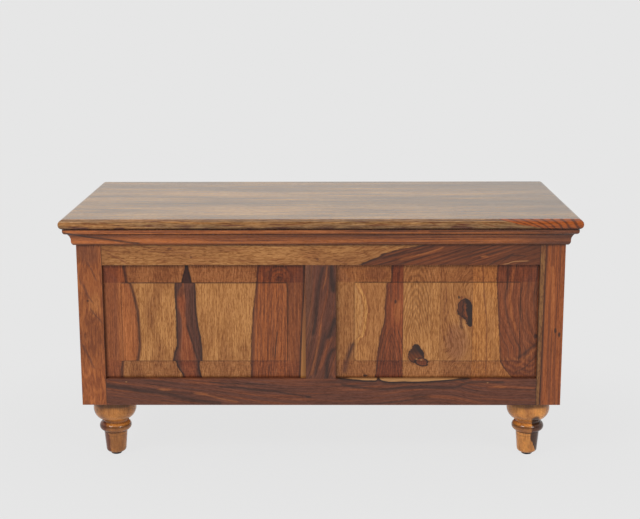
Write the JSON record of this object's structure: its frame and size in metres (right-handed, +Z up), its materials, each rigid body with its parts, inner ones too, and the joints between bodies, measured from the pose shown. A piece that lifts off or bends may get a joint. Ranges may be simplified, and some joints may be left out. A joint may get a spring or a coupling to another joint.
{
  "type": "wooden trunk",
  "caption": "Wooden blanket trunk: a frame-and-panel box with raised panels, mitred cornice and turned feet under a hinged lid that slotted stays hold open.",
  "frame": {"origin": "on the ground, under the middle of the whole trunk's box, hinge barrels included", "axes": "+X along the width to the right as seen from the front, front towards -Y, +Z up"},
  "size_m": [0.914, 0.4548, 0.4534],
  "materials": {
    "lid_wood": "satin lacquer",
    "cornice_wood": "satin lacquer",
    "frame_wood": "satin lacquer",
    "panel_wood": "satin lacquer",
    "foot_wood": "satin lacquer",
    "inner_wood": "thin lacquer",
    "brass_hardware": "brushed",
    "steel_hardware": "zinc plated",
    "black_glide": "matte"
  },
  "bodies": {
    "carcass": {"corner_block_front_left": "inner_wood", "corner_block_front_right": "inner_wood", "corner_block_rear_left": "inner_wood", "corner_block_rear_right": "inner_wood", "cornice_front": "cornice_wood", "cornice_left": "cornice_wood", "cornice_right": "cornice_wood", "floor_board": "inner_wood", "floor_ledger_back": "inner_wood", "floor_ledger_front": "inner_wood", "floor_ledger_left": "inner_wood", "floor_ledger_right": "inner_wood", "foot_bolts": "steel_hardware", "foot_front_left": "foot_wood", "foot_front_right": "foot_wood", "foot_glides": "black_glide", "foot_rear_left": "foot_wood", "foot_rear_right": "foot_wood", "hinge_leaf_carcass_left": "brass_hardware", "hinge_leaf_carcass_right": "brass_hardware", "hinge_pins": "brass_hardware", "hinge_screws_carcass": "brass_hardware", "muntin_back": "frame_wood", "muntin_front": "frame_wood", "panel_back_left": "inner_wood", "panel_back_right": "inner_wood", "panel_front_left": "panel_wood", "panel_front_right": "panel_wood", "panel_left": "panel_wood", "panel_right": "panel_wood", "post_front_left": "frame_wood", "post_front_right": "frame_wood", "post_rear_left": "frame_wood", "post_rear_right": "frame_wood", "rail_back_bottom": "frame_wood", "rail_back_top": "frame_wood", "rail_front_bottom": "frame_wood", "rail_front_top": "frame_wood", "rail_left_bottom": "frame_wood", "rail_left_top": "frame_wood", "rail_right_bottom": "frame_wood", "rail_right_top": "frame_wood", "stay_plate_left": "steel_hardware", "stay_plate_right": "steel_hardware", "stay_plate_screws": "steel_hardware"},
    "lid": {"batten_screws": "steel_hardware", "hinge_leaf_lid_left": "brass_hardware", "hinge_leaf_lid_right": "brass_hardware", "hinge_screws_lid": "brass_hardware", "lid_batten_left": "inner_wood", "lid_batten_right": "inner_wood", "lid_panel": "lid_wood", "stay_bracket_left": "steel_hardware", "stay_bracket_right": "steel_hardware", "stay_bracket_screws": "steel_hardware", "stay_rivets": "steel_hardware"},
    "stay_left": {"stay_arm_left": "steel_hardware"},
    "stay_right": {"stay_arm_right": "steel_hardware"}
  },
  "joints": [
    {"name": "lid_hinge", "type": "hinge", "parent": "carcass", "child": "lid", "pos_m": [0, 0.22395, 0.4352], "axis": [-1, 0, 0], "range_deg": [0, 95]},
    {"name": "stay_left_pivot", "type": "hinge", "parent": "lid", "child": "stay_left", "pos_m": [-0.40295, 0.09434, 0.4252], "axis": [1, 0, 0], "range_deg": [0, 47.5]},
    {"name": "stay_right_pivot", "type": "hinge", "parent": "lid", "child": "stay_right", "pos_m": [0.40295, 0.09434, 0.4252], "axis": [1, 0, 0], "range_deg": [0, 47.5]}
  ],
  "couplings": [
    {"joint": "stay_left_pivot", "follows": "lid_hinge", "ratio": 0.5},
    {"joint": "stay_right_pivot", "follows": "lid_hinge", "ratio": 0.5}
  ]
}
